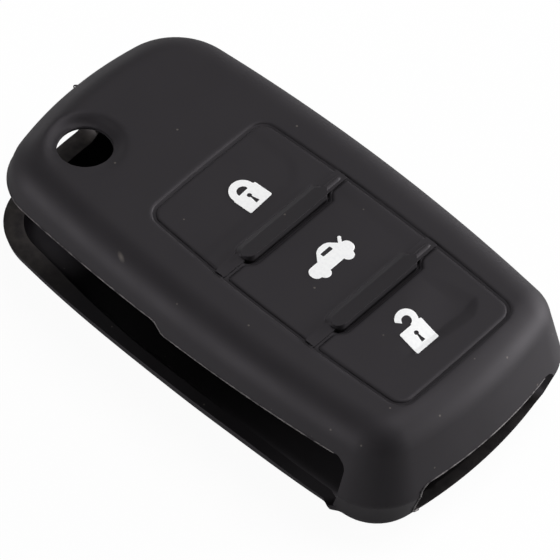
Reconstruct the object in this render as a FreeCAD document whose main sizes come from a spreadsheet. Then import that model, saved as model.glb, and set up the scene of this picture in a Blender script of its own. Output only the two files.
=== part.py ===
import FreeCAD, Part
import math
import os
import Sketcher
from FreeCAD import Rotation, Vector

# Key fob cover: a soft sleeve with three press pads, drawn in millimetres with Z up.
# The origin is the middle of the back face. X runs along the sleeve to the key ring end,
# the long mouth for the blade is on the -Y side and the pads face up.

os.makedirs("parts", exist_ok=True)
doc = FreeCAD.newDocument("key_cover")

# Driving sizes, in millimetres and degrees
SIZES = [
    # Outline of the sleeve at the parting line
    ("length", 73.0),
    ("width", 40.7),
    ("side_radius", 255.0),
    ("blade_end_radius", 52.0),
    ("ring_end_radius", 64.0),
    # Its four corners, at each end the one on the mouth side and the one on the far side
    ("blade_end_corner", 9.2),
    ("blade_end_far_corner", 11.5),
    ("ring_end_corner", 8.0),
    ("ring_end_far_corner", 7.0),
    # Heights and walls
    ("height", 18.8),
    ("parting_height", 7.8),
    ("draft_angle", 14.0),
    ("front_round", 4.5),
    ("back_round", 4.5),
    ("pocket_round", 2.0),
    ("wall", 1.5),
    # Opening in the front wall that the pads fill
    ("panel_blade_margin", 23.7),
    ("panel_ring_margin", 6.5),
    ("panel_side_margin", 9.15),
    ("panel_shift", 0.45),
    ("panel_side_radius", 290.0),
    ("panel_end_radius", 300.0),
    ("panel_corner", 2.2),
    ("pad_clearance", 0.35),
    ("pad_bevel", 0.25),
    # Raised bars near the thirds of the opening, set back towards the blade end, and their thin ribs
    ("first_bar_set_back", 0.9),
    ("second_bar_set_back", 0.15),
    ("bar_width", 3.3),
    ("bar_end_margin", 3.25),
    ("bar_corner", 1.2),
    ("bar_offset", 0.4),
    ("bar_rise", 0.8),
    ("bar_draft", 25.0),
    ("bar_round", 0.3),
    ("rib_width", 0.9),
    ("rib_rise", 0.25),
    ("rib_root", 0.3),
    # Hole over the blade release
    ("hole_from_blade_end", 10.9),
    ("hole_from_mouth_side", 12.75),
    ("hole_radius", 3.65),
    ("hole_bevel", 0.6),
    # Mouth for the blade
    ("mouth_from_ring_end", 8.5),
    ("mouth_low", 4.5),
    ("mouth_slant", 1.0),
    ("mouth_corner", 2.0),
    ("mouth_wrap", 3.0),
    ("lip_start", 13.5),
    ("lip_before_notch", 14.2),
    ("lip_after_notch", 13.2),
    ("lip_end", 13.7),
    ("notch_back", 3.0),
    ("notch_run", 1.8),
    # Slot for the key ring
    ("ring_slot_margin", 7.8),
    ("ring_slot_shift", 0.65),
    ("ring_slot_low", 3.1),
    ("ring_slot_high", 9.3),
    ("ring_slot_corner", 2.0),
    # Webs under the pads
    ("web_thickness", 0.4),
    ("web_lap", 0.35),
    # Prints
    ("print_thickness", 0.1),
    ("lock_offset", 1.0),
    ("lock_shift", 0.5),
    ("lock_turn", 3.0),
    ("lock_width", 4.2),
    ("lock_height", 3.2),
    ("shackle_radius", 1.7),
    ("shackle_stroke", 0.95),
    ("keyhole_radius", 0.26),
    ("keyhole_lift", 0.4),
    ("slit_width", 0.18),
    ("slit_length", 1.0),
    ("unlock_offset", 1.1),
    ("unlock_drop", 0.75),
    ("unlock_turn", 5.0),
    ("unlock_width", 4.0),
    ("unlock_height", 3.5),
    ("hook_radius", 1.55),
    ("hook_stroke", 0.8),
    ("hook_rise", 1.1),
    ("car_offset", 0.3),
    ("car_shift", 0.35),
    ("car_hull_length", 5.9),
    ("car_hull_height", 1.8),
    ("car_drop", 1.05),
    ("car_roof_height", 2.4),
    ("car_roof_length", 1.5),
    ("car_roof_shift", 0.25),
    ("car_cabin_length", 4.5),
    ("car_wheel_radius", 0.85),
    ("car_wheel_base", 4.4),
    ("car_lid_length", 1.7),
    ("car_lid_width", 0.45),
    ("car_lid_angle", 42.0),
    ("car_window_length", 1.3),
    ("car_window_height", 0.4),
    ("car_window_lift", 1.25),
]

sheet = doc.addObject("Spreadsheet::Sheet", "sizes")
for row, (name, number) in enumerate(SIZES, start=1):
    sheet.set(f"A{row}", name)
    sheet.set(f"B{row}", str(number))
    sheet.setAlias(f"B{row}", name)
doc.recompute()

# How far a cutter runs past the faces that it opens.
PAST = 12.0


def worth(expression):
    """The present value of an expression of the sheet."""
    found = sheet.evalExpression(expression)
    return float(getattr(found, "Value", found))


# Helpers for sketches
def new_sketch(body, name, plane="XY_Plane", offset="0"):
    sketch = body.newObject("Sketcher::SketchObject", name)
    support = [f for f in body.Origin.OriginFeatures if f.Role == plane][0]
    sketch.AttachmentSupport = [(support, "")]
    sketch.MapMode = "FlatFace"
    sketch.setExpression("AttachmentOffset.Base.z", offset)
    return sketch


def bind(sketch, index, expression):
    sketch.setExpression(f"Constraints[{index}]", expression)


def set_radius(sketch, curve, expression):
    index = sketch.addConstraint(Sketcher.Constraint("Radius", curve, worth(expression)))
    bind(sketch, index, expression)


def set_place(sketch, axis, curve, point, expression):
    """Ties one coordinate of a point to an expression that may be negative."""
    number = worth(expression)
    if expression == "0":
        line = -2 if axis == "X" else -1
        sketch.addConstraint(Sketcher.Constraint("PointOnObject", curve, point, line))
        return
    ends = (-1, 1, curve, point) if number >= 0 else (curve, point, -1, 1)
    index = sketch.addConstraint(Sketcher.Constraint("Distance" + axis, *ends, abs(number)))
    bind(sketch, index, expression if number >= 0 else f"-({expression})")


def crossing(first, first_radius, second, second_radius, near):
    """Where two circles cross, on the side of the point given."""
    gap = second - first
    reach = gap.Length
    along = (reach**2 + first_radius**2 - second_radius**2) / (2 * reach)
    aside = math.sqrt(first_radius**2 - along**2)
    middle = first + gap * (along / reach)
    normal = Vector(-gap.y, gap.x, 0) * (aside / reach)
    return min((middle + normal, middle - normal), key=lambda p: p.distanceToPoint(near))


def angle_of(arrow):
    return math.atan2(arrow.y, arrow.x)


# The sleeve and the panel are both barrels: bowed sides, bowed ends and four round corners.
SLEEVE = {
    "middle": "0",
    "shift": "0",
    "length": "sizes.length",
    "width": "sizes.width",
    "side": "sizes.side_radius",
    "back_end": "sizes.blade_end_radius",
    "front_end": "sizes.ring_end_radius",
    "back_low_corner": "sizes.blade_end_corner",
    "back_high_corner": "sizes.blade_end_far_corner",
    "front_low_corner": "sizes.ring_end_corner",
    "front_high_corner": "sizes.ring_end_far_corner",
}
PANEL = {
    "middle": "(sizes.panel_blade_margin - sizes.panel_ring_margin) / 2",
    "shift": "sizes.panel_shift",
    "length": "(sizes.length - sizes.panel_blade_margin - sizes.panel_ring_margin)",
    "width": "(sizes.width - 2 * sizes.panel_side_margin)",
    "side": "sizes.panel_side_radius",
    "back_end": "sizes.panel_end_radius",
    "front_end": "sizes.panel_end_radius",
    "back_low_corner": "sizes.panel_corner",
    "back_high_corner": "sizes.panel_corner",
    "front_low_corner": "sizes.panel_corner",
    "front_high_corner": "sizes.panel_corner",
}


def barrel(sketch, form, inset):
    """Draws a barrel drawn in by inset, as eight arcs that run on into each other."""
    size = {name: worth(text) for name, text in form.items()}
    step = worth(inset)
    half_length, half_width = size["length"] / 2, size["width"] / 2
    low = Vector(size["middle"], size["shift"] - half_width + size["side"], 0)
    high = Vector(size["middle"], size["shift"] + half_width - size["side"], 0)
    front = Vector(size["middle"] + half_length - size["front_end"], size["shift"], 0)
    back = Vector(size["middle"] - half_length + size["back_end"], size["shift"], 0)

    def corner(end, end_radius, side, radius, x_way, y_way):
        near = Vector(size["middle"] + x_way * half_length, size["shift"] + y_way * half_width, 0)
        return crossing(end, end_radius - radius, side, size["side"] - radius, near)

    front_low = corner(front, size["front_end"], low, size["front_low_corner"], 1, -1)
    front_high = corner(front, size["front_end"], high, size["front_high_corner"], 1, 1)
    back_high = corner(back, size["back_end"], high, size["back_high_corner"], -1, 1)
    back_low = corner(back, size["back_end"], low, size["back_low_corner"], -1, -1)
    arcs = [
        (front_low, size["front_low_corner"], front_low - low, front_low - front),
        (front, size["front_end"], front_low - front, front_high - front),
        (front_high, size["front_high_corner"], front_high - front, front_high - high),
        (high, size["side"], front_high - high, back_high - high),
        (back_high, size["back_high_corner"], back_high - high, back_high - back),
        (back, size["back_end"], back_high - back, back_low - back),
        (back_low, size["back_low_corner"], back_low - back, back_low - low),
        (low, size["side"], back_low - low, front_low - low),
    ]
    for centre, radius, start, end in arcs:
        begin, finish = angle_of(start), angle_of(end)
        while finish < begin:
            finish += 2 * math.pi
        circle = Part.Circle(centre, Vector(0, 0, 1), radius - step)
        sketch.addGeometry(Part.ArcOfCircle(circle, begin, finish), False)
    for curve in range(8):
        sketch.addConstraint(Sketcher.Constraint("Tangent", curve, 2, (curve + 1) % 8, 1))
    sketch.addConstraint(Sketcher.Constraint("Equal", 3, 7))
    radii = [(1, "front_end"), (5, "back_end"), (3, "side")]
    radii += [(0, "front_low_corner"), (2, "front_high_corner")]
    radii += [(4, "back_high_corner"), (6, "back_low_corner")]
    for curve, name in radii:
        set_radius(sketch, curve, f"{form[name]} - ({inset})")
    bow = f"{form['side']} - {form['width']} / 2"
    set_place(sketch, "X", 7, 3, form["middle"])
    set_place(sketch, "Y", 7, 3, f"{form['shift']} + {bow}")
    set_place(sketch, "X", 3, 3, form["middle"])
    set_place(sketch, "Y", 3, 3, f"{form['shift']} - ({bow})")
    set_place(sketch, "X", 1, 3, f"{form['middle']} + {form['length']} / 2 - {form['front_end']}")
    set_place(sketch, "Y", 1, 3, form["shift"])
    set_place(sketch, "X", 5, 3, f"{form['middle']} - {form['length']} / 2 + {form['back_end']}")
    set_place(sketch, "Y", 5, 3, form["shift"])


def rectangle(sketch, left, right, low, high, corner="0"):
    """Draws an upright rectangle between four expressions, with its corners rounded if asked."""
    radius = worth(corner)
    x0, x1, y0, y1 = worth(left), worth(right), worth(low), worth(high)
    first = sketch.GeometryCount
    if radius == 0:
        points = [Vector(x0, y0, 0), Vector(x1, y0, 0), Vector(x1, y1, 0), Vector(x0, y1, 0)]
        for side in range(4):
            sketch.addGeometry(Part.LineSegment(points[side], points[(side + 1) % 4]), False)
        for side in range(4):
            following = first + (side + 1) % 4
            sketch.addConstraint(Sketcher.Constraint("Coincident", first + side, 2, following, 1))
            way = "Horizontal" if side % 2 == 0 else "Vertical"
            sketch.addConstraint(Sketcher.Constraint(way, first + side))
        bottom, right_side, top, left_side = range(first, first + 4)
    else:
        r = radius
        sides = [
            (Vector(x0 + r, y0, 0), Vector(x1 - r, y0, 0)),
            (Vector(x1, y0 + r, 0), Vector(x1, y1 - r, 0)),
            (Vector(x1 - r, y1, 0), Vector(x0 + r, y1, 0)),
            (Vector(x0, y1 - r, 0), Vector(x0, y0 + r, 0)),
        ]
        middles = [(x1 - r, y0 + r), (x1 - r, y1 - r), (x0 + r, y1 - r), (x0 + r, y0 + r)]
        for side in range(4):
            sketch.addGeometry(Part.LineSegment(*sides[side]), False)
            circle = Part.Circle(Vector(*middles[side], 0), Vector(0, 0, 1), r)
            begin = -math.pi / 2 + side * math.pi / 2
            sketch.addGeometry(Part.ArcOfCircle(circle, begin, begin + math.pi / 2), False)
        for curve in range(8):
            following = first + (curve + 1) % 8
            sketch.addConstraint(Sketcher.Constraint("Tangent", first + curve, 2, following, 1))
        for side in range(4):
            way = "Horizontal" if side % 2 == 0 else "Vertical"
            sketch.addConstraint(Sketcher.Constraint(way, first + 2 * side))
        for arc in (3, 5, 7):
            sketch.addConstraint(Sketcher.Constraint("Equal", first + 1, first + arc))
        set_radius(sketch, first + 1, corner)
        bottom, right_side, top, left_side = range(first, first + 8, 2)
    set_place(sketch, "Y", bottom, 1, low)
    set_place(sketch, "X", right_side, 1, right)
    set_place(sketch, "Y", top, 1, high)
    set_place(sketch, "X", left_side, 1, left)


def outline(sketch, corners, rounded=None, radius="0"):
    """Draws lines from corner to corner. The side that starts at the rounded corner is a quarter arc."""
    spots = [Vector(worth(x), worth(y), 0) for x, y in corners]
    count = len(spots)
    for side in range(count):
        start, end = spots[side], spots[(side + 1) % count]
        if side == rounded:
            circle = Part.Circle(Vector(end.x, start.y, 0), Vector(0, 0, 1), worth(radius))
            sketch.addGeometry(Part.ArcOfCircle(circle, 0, math.pi / 2), False)
        else:
            sketch.addGeometry(Part.LineSegment(start, end), False)
    for side in range(count):
        sketch.addConstraint(Sketcher.Constraint("Coincident", side, 2, (side + 1) % count, 1))
    for side, (x, y) in enumerate(corners):
        set_place(sketch, "X", side, 1, x)
        set_place(sketch, "Y", side, 1, y)
    if rounded is not None:
        set_radius(sketch, rounded, radius)


def circle_in(sketch, x, y, radius):
    centre = Vector(worth(x), worth(y), 0)
    curve = sketch.addGeometry(Part.Circle(centre, Vector(0, 0, 1), worth(radius)))
    set_radius(sketch, curve, radius)
    set_place(sketch, "X", curve, 3, x)
    set_place(sketch, "Y", curve, 3, y)


# Helpers for features
def new_body(name):
    body = doc.addObject("PartDesign::Body", name)
    body.Label = name
    return body


def pad(body, name, sketch, up, down=None, taper=None, taper_down=None):
    feature = body.newObject("PartDesign::Pad", name)
    feature.Profile = sketch
    if down is not None:
        feature.SideType = "Two sides"
        feature.setExpression("Length2", down)
    feature.setExpression("Length", up)
    if taper is not None:
        feature.setExpression("TaperAngle", f"-({taper})")
    if taper_down is not None:
        feature.setExpression("TaperAngle2", f"-({taper_down})")
    doc.recompute()
    return feature


def pocket(body, name, sketch, depth, turned=False):
    """Cuts a sketch away. The volume has to fall, or the cut went the wrong way."""
    before = body.Shape.Volume
    feature = body.newObject("PartDesign::Pocket", name)
    feature.Profile = sketch
    feature.Reversed = turned
    feature.setExpression("Length", depth)
    doc.recompute()
    assert body.Shape.Volume < before - 0.01, name
    return feature


def level_edges(shape, height):
    """Names of the edges that lie flat at one height."""
    names = []
    for number, edge in enumerate(shape.Edges, start=1):
        box = edge.BoundBox
        if abs(box.ZMin - height) < 1e-4 and abs(box.ZMax - height) < 1e-4:
            names.append(f"Edge{number}")
    return names


def round_level(body, name, height, radius):
    feature = body.newObject("PartDesign::Fillet", name)
    base = body.Group[-2]
    feature.Base = (base, level_edges(base.Shape, height))
    feature.setExpression("Radius", radius)
    doc.recompute()
    return feature


def bevel_level(body, name, height, size):
    feature = body.newObject("PartDesign::Chamfer", name)
    base = body.Group[-2]
    feature.Base = (base, level_edges(base.Shape, height))
    feature.setExpression("Size", size)
    doc.recompute()
    return feature


def drafted_form(body, inset, floor, ceiling, back_round, front_round):
    """A barrel that narrows up and down from the parting line and has its two flat faces rounded off."""
    sketch = new_sketch(body, body.Name + "_outline", offset="sizes.parting_height")
    barrel(sketch, SLEEVE, inset)
    pad(
        body,
        body.Name + "_halves",
        sketch,
        f"{ceiling} - sizes.parting_height",
        down=f"sizes.parting_height - ({floor})",
        taper="sizes.draft_angle",
        taper_down="sizes.draft_angle",
    )
    round_level(body, body.Name + "_front_round", worth(ceiling), front_round)
    round_level(body, body.Name + "_back_round", worth(floor), back_round)


# The sleeve: an outer form, hollowed by a smaller one
hollow = new_body("hollow")
drafted_form(
    hollow,
    "sizes.wall / cos(sizes.draft_angle * 1 deg)",
    "sizes.wall",
    "sizes.height - sizes.wall",
    "sizes.pocket_round",
    "sizes.pocket_round",
)
cover = new_body("cover_shell")
drafted_form(cover, "0", "0", "sizes.height", "sizes.back_round", "sizes.front_round")
hollowing = cover.newObject("PartDesign::Boolean", "hollowing")
hollowing.Type = "Cut"
hollowing.setObjects([hollow])
doc.recompute()

# Mouth for the blade: through the -Y wall, then round the corner into the blade end
MOUTH_END = "sizes.length / 2 - sizes.mouth_from_ring_end"
mouth = new_sketch(cover, "mouth_outline", "XZ_Plane", "sizes.width / 4")
outline(
    mouth,
    [
        (f"-sizes.length / 2 - {PAST}", "sizes.mouth_low"),
        (f"{MOUTH_END} - sizes.mouth_slant", "sizes.mouth_low"),
        (MOUTH_END, "sizes.parting_height"),
        (MOUTH_END, "sizes.lip_end - sizes.mouth_corner"),
        (f"{MOUTH_END} - sizes.mouth_corner", "sizes.lip_end"),
        ("sizes.notch_run - sizes.notch_back", "sizes.lip_after_notch"),
        ("-sizes.notch_back", "sizes.lip_before_notch"),
        ("sizes.blade_end_corner - sizes.length / 2", "sizes.lip_start"),
        (f"-sizes.length / 2 - {PAST}", "sizes.lip_start"),
    ],
    rounded=3,
    radius="sizes.mouth_corner",
)
pocket(cover, "mouth", mouth, f"sizes.width / 4 + {PAST}", turned=True)
wrap = new_sketch(cover, "mouth_wrap_outline", "YZ_Plane", "sizes.blade_end_corner - sizes.length / 2")
rectangle(
    wrap,
    f"-sizes.width / 2 - {PAST}",
    "sizes.mouth_wrap",
    "sizes.mouth_low",
    "sizes.lip_start",
    "sizes.mouth_corner",
)
pocket(cover, "mouth_wrap", wrap, f"sizes.blade_end_corner + {PAST}")

# Slot for the key ring, through the wall of the other end
ring_slot = new_sketch(cover, "ring_slot_outline", "YZ_Plane", "sizes.length / 4")
rectangle(
    ring_slot,
    "sizes.ring_slot_shift + sizes.ring_slot_margin - sizes.width / 2",
    "sizes.ring_slot_shift - sizes.ring_slot_margin + sizes.width / 2",
    "sizes.ring_slot_low",
    "sizes.ring_slot_high",
    "sizes.ring_slot_corner",
)
pocket(cover, "ring_slot", ring_slot, f"sizes.length / 4 + {PAST}", turned=True)

# Hole over the blade release, with a bevelled edge
release = new_sketch(cover, "release_outline", offset="sizes.height")
hole_x = "sizes.hole_from_blade_end - sizes.length / 2"
hole_y = "sizes.hole_from_mouth_side - sizes.width / 2"
circle_in(release, hole_x, hole_y, "sizes.hole_radius")
pocket(cover, "release_hole", release, "2 * sizes.wall")
bevel = cover.newObject("PartDesign::Chamfer", "release_bevel")
hole_edges = []
for number, edge in enumerate(cover.Group[-2].Shape.Edges, start=1):
    if isinstance(edge.Curve, Part.Circle) and abs(edge.Curve.Radius - worth("sizes.hole_radius")) < 1e-4:
        if abs(edge.BoundBox.ZMin - worth("sizes.height")) < 1e-4:
            hole_edges.append(f"Edge{number}")
bevel.Base = (cover.Group[-2], hole_edges)
bevel.setExpression("Size", "sizes.hole_bevel")
doc.recompute()

# Opening for the pads, bridged by two ribs that carry the raised bars
opening = new_sketch(cover, "panel_outline", offset="sizes.height")
barrel(opening, PANEL, "0")
pocket(cover, "panel_opening", opening, "2 * sizes.wall")
PANEL_START = "(sizes.panel_blade_margin - sizes.length / 2)"
PANEL_END = "(sizes.length / 2 - sizes.panel_ring_margin)"
BARS = [
    f"({PANEL_START} + {PANEL['length']} / 3 - sizes.first_bar_set_back)",
    f"({PANEL_START} + {PANEL['length']} * 2 / 3 - sizes.second_bar_set_back)",
]
BAR_MIDDLE = "(sizes.panel_shift + sizes.bar_offset)"
BAR_HALF = f"({PANEL['width']} / 2 - sizes.bar_end_margin)"
ribs = new_sketch(cover, "rib_outlines", offset="sizes.height - sizes.wall")
for place in BARS:
    rectangle(
        ribs,
        f"{place} - sizes.rib_width / 2",
        f"{place} + sizes.rib_width / 2",
        f"sizes.panel_shift - {PANEL['width']} / 2 - sizes.rib_root",
        f"sizes.panel_shift + {PANEL['width']} / 2 + sizes.rib_root",
    )
pad(cover, "ribs", ribs, "sizes.wall + sizes.rib_rise")
bars = new_sketch(cover, "bar_outlines", offset="sizes.height")
for place in BARS:
    rectangle(
        bars,
        f"{place} - sizes.bar_width / 2",
        f"{place} + sizes.bar_width / 2",
        f"{BAR_MIDDLE} - {BAR_HALF}",
        f"{BAR_MIDDLE} + {BAR_HALF}",
        "sizes.bar_corner",
    )
pad(cover, "bars", bars, "sizes.bar_rise", down="sizes.wall", taper="sizes.bar_draft")
round_level(cover, "bar_tops", worth("sizes.height + sizes.bar_rise"), "sizes.bar_round")


# Pads and webs: both follow the edge of their own cell of the opening
def cell_sheet(body, inset, thickness, bar_below=None, bar_above=None):
    """A sheet that fills one cell of the opening, drawn in from the cell's edge by inset."""
    edge = new_sketch(body, body.Name + "_edge")
    barrel(edge, PANEL, inset)
    pad(body, body.Name + "_sheet", edge, thickness)
    for place, way in ((bar_below, -1), (bar_above, 1)):
        if place is None:
            continue
        side = "low" if way < 0 else "high"
        limit = f"{place} {'+' if way < 0 else '-'} (sizes.rib_width / 2 + {inset})"
        beyond = new_sketch(body, f"{body.Name}_{side}_limit")
        left, right = ("-sizes.length", limit) if way < 0 else (limit, "sizes.length")
        rectangle(beyond, left, right, "-sizes.width", "sizes.width")
        pocket(body, f"{body.Name}_{side}_cut", beyond, f"2 * ({thickness})", turned=True)
        notch = new_sketch(body, f"{body.Name}_{side}_notch")
        rectangle(
            notch,
            f"{place} - sizes.bar_width / 2 - ({inset})",
            f"{place} + sizes.bar_width / 2 + ({inset})",
            f"{BAR_MIDDLE} - {BAR_HALF} - ({inset})",
            f"{BAR_MIDDLE} + {BAR_HALF} + ({inset})",
            f"sizes.bar_corner + ({inset})",
        )
        pocket(body, f"{body.Name}_{side}_bar", notch, f"2 * ({thickness})", turned=True)


CELLS = {
    "lock": {"bar_above": BARS[0]},
    "boot": {"bar_below": BARS[0], "bar_above": BARS[1]},
    "unlock": {"bar_below": BARS[1]},
}
nodes = [cover]
for name, sides in CELLS.items():
    button = new_body(f"{name}_button")
    cell_sheet(button, "sizes.pad_clearance", "sizes.wall", **sides)
    bevel_level(button, f"{name}_pad_bevel", worth("sizes.wall"), "sizes.pad_bevel")
    button.setExpression("Placement.Base.z", "sizes.height - sizes.wall")
    web = new_body(f"{name}_web")
    inner = new_body(f"{name}_web_inner")
    cell_sheet(inner, "sizes.pad_clearance + sizes.web_lap", "sizes.web_thickness", **sides)
    cell_sheet(web, "-sizes.web_lap", "sizes.web_thickness", **sides)
    ring = web.newObject("PartDesign::Boolean", f"{name}_ring")
    ring.Type = "Cut"
    ring.setObjects([inner])
    web.setExpression("Placement.Base.z", "sizes.height - sizes.wall - sizes.web_thickness")
    nodes += [button, web]
doc.recompute()


# Prints: flat symbols drawn upright, then turned to face along the sleeve
def block(name, left, low, wide, tall, turn=None):
    box = doc.addObject("Part::Box", name)
    box.setExpression("Length", wide)
    box.setExpression("Width", tall)
    box.setExpression("Height", "sizes.print_thickness")
    box.setExpression("Placement.Base.x", left)
    box.setExpression("Placement.Base.y", low)
    if turn is not None:
        box.Placement.Rotation = Rotation(Vector(0, 0, 1), 0)
        box.setExpression("Placement.Rotation.Angle", turn)
    return box


def disc(name, x, y, radius):
    cylinder = doc.addObject("Part::Cylinder", name)
    cylinder.setExpression("Radius", radius)
    cylinder.setExpression("Height", "sizes.print_thickness")
    cylinder.setExpression("Placement.Base.x", x)
    cylinder.setExpression("Placement.Base.y", y)
    return cylinder


def join(name, pieces):
    union = doc.addObject("Part::MultiFuse", name)
    union.Shapes = pieces
    return union


def remove(name, base, tool):
    cut = doc.addObject("Part::Cut", name)
    cut.Base = base
    cut.Tool = tool
    return cut


def keyhole(name):
    """A round hole with a slit below it."""
    eye = disc(f"{name}_eye", "0", "sizes.keyhole_lift", "sizes.keyhole_radius")
    slit_low = "sizes.keyhole_lift - sizes.slit_length"
    slit = block(f"{name}_slit", "-sizes.slit_width / 2", slit_low, "sizes.slit_width", "sizes.slit_length")
    return join(f"{name}_keyhole", [eye, slit])


def lay_down(symbol, name, x, y, turn):
    symbol.Label = name
    symbol.Placement.Rotation = Rotation(Vector(0, 0, 1), 0)
    symbol.setExpression("Placement.Base.x", x)
    symbol.setExpression("Placement.Base.y", y)
    symbol.setExpression("Placement.Base.z", "sizes.height")
    symbol.setExpression("Placement.Rotation.Angle", turn)
    nodes.append(symbol)


lock_body = block(
    "lock_body", "-sizes.lock_width / 2", "-sizes.lock_height / 2", "sizes.lock_width", "sizes.lock_height"
)
bow_outer = disc("bow_outer", "0", "sizes.lock_height / 2", "sizes.shackle_radius")
bow_inner = disc("bow_inner", "0", "sizes.lock_height / 2", "sizes.shackle_radius - sizes.shackle_stroke")
lock_bow = remove("lock_bow", bow_outer, bow_inner)
lock_whole = join("lock_whole", [lock_body, lock_bow])
lock_print = remove("lock_print", lock_whole, keyhole("lock"))
lock_x = f"({PANEL_START} + {BARS[0]}) / 2 + sizes.lock_offset"
lay_down(lock_print, "lock_print", lock_x, "sizes.panel_shift + sizes.lock_shift", "90 + sizes.lock_turn")

# Car seen from its left side, with the boot lid standing open at the back
hull_low = "-sizes.car_drop"
hull_back = "-sizes.car_hull_length / 2"
hull = block("car_hull", hull_back, hull_low, "sizes.car_hull_length", "sizes.car_hull_height")
hull_middle = "sizes.car_hull_height / 2 - sizes.car_drop"
nose = disc("car_nose", hull_back, hull_middle, "sizes.car_hull_height / 2")
tail = disc("car_tail", f"-({hull_back})", hull_middle, "sizes.car_hull_height / 2")
wheels = []
for side, sign in (("front", "-"), ("rear", "")):
    spot = f"{sign}sizes.car_wheel_base / 2"
    wheels.append(disc(f"car_{side}_wheel", spot, hull_low, "sizes.car_wheel_radius"))
cabin = doc.addObject("Part::Wedge", "car_cabin")
cabin.setExpression("Xmin", "-sizes.car_cabin_length / 2")
cabin.setExpression("Xmax", "sizes.car_cabin_length / 2")
cabin.setExpression("X2min", "-sizes.car_roof_length / 2")
cabin.setExpression("X2max", "sizes.car_roof_length / 2")
cabin.setExpression("Ymin", hull_middle)
cabin.setExpression("Ymax", "sizes.car_roof_height")
for low, high in (("Zmin", "Zmax"), ("Z2min", "Z2max")):
    cabin.setExpression(low, "0")
    cabin.setExpression(high, "sizes.print_thickness")
cabin.setExpression("Placement.Base.x", "sizes.car_roof_shift")
lid = block(
    "car_lid",
    "sizes.car_cabin_length / 2",
    hull_middle,
    "sizes.car_lid_length",
    "sizes.car_lid_width",
    turn="sizes.car_lid_angle",
)
car_window = block(
    "car_window",
    "sizes.car_roof_shift - sizes.car_window_length / 2",
    "sizes.car_window_lift - sizes.car_window_height / 2",
    "sizes.car_window_length",
    "sizes.car_window_height",
)
car_whole = join("car_whole", [hull, nose, tail, cabin, lid] + wheels)
boot_print = remove("boot_print", car_whole, car_window)
car_x = f"({BARS[0]} + {BARS[1]}) / 2 + sizes.car_offset"
lay_down(boot_print, "boot_print", car_x, "sizes.panel_shift + sizes.car_shift", "90")

# Open padlock: the bow stands on one leg and its other end hangs free
unlock_body = block(
    "unlock_body",
    "-sizes.unlock_width / 2",
    "-sizes.unlock_height / 2",
    "sizes.unlock_width",
    "sizes.unlock_height",
)
hook_x = "sizes.unlock_width / 2 - sizes.hook_radius"
hook_y = "sizes.unlock_height / 2 + sizes.hook_rise"
hook_outer = disc("hook_outer", hook_x, hook_y, "sizes.hook_radius")
hook_inner = disc("hook_inner", hook_x, hook_y, "sizes.hook_radius - sizes.hook_stroke")
hook_ring = remove("hook_ring", hook_outer, hook_inner)
half_left = f"{hook_x} - sizes.hook_radius"
upper_half = block("upper_half", half_left, hook_y, "2 * sizes.hook_radius", "sizes.hook_radius")
hook = doc.addObject("Part::Common", "hook")
hook.Base = hook_ring
hook.Tool = upper_half
leg_left = "sizes.unlock_width / 2 - sizes.hook_stroke"
leg = block("hook_leg", leg_left, "0", "sizes.hook_stroke", hook_y)
tip_x = f"{hook_x} - sizes.hook_radius + sizes.hook_stroke / 2"
tip = disc("hook_tip", tip_x, hook_y, "sizes.hook_stroke / 2")
unlock_whole = join("unlock_whole", [unlock_body, hook, leg, tip])
unlock_print = remove("unlock_print", unlock_whole, keyhole("unlock"))
unlock_x = f"({BARS[1]} + {PANEL_END}) / 2 + sizes.unlock_offset"
unlock_y = "sizes.panel_shift - sizes.unlock_drop"
lay_down(unlock_print, "unlock_print", unlock_x, unlock_y, "90 - sizes.unlock_turn")
doc.recompute()

# Every object has to be sound before anything is written
for item in doc.Objects:
    assert not {"Invalid", "Error"} & set(item.State), f"{item.Name}: {item.State}"
    if hasattr(item, "Shape") and item.isDerivedFrom("Part::Feature"):
        assert not item.Shape.isNull(), item.Name
        assert item.Shape.isValid(), item.Name
for node in nodes:
    assert len(node.Shape.Solids) == 1, f"{node.Label} has {len(node.Shape.Solids)} solids"
    node.Shape.exportStep(f"parts/{node.Label}.step")
    print(f"{node.Label}: {node.Shape.Volume:.2f} mm3, {len(node.Shape.Faces)} faces")
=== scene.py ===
# %% [markdown]
# A soft key fob cover
#
# The real thing is one soft moulding of black silicone that slips over a flip key. It has three
# pads to press, a white symbol printed on each, a long mouth for the blade, a hole over the
# release button and a slot for the key ring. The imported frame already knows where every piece
# sits and how it moves, so this lesson only gives the pieces their final shape and finish.

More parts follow.
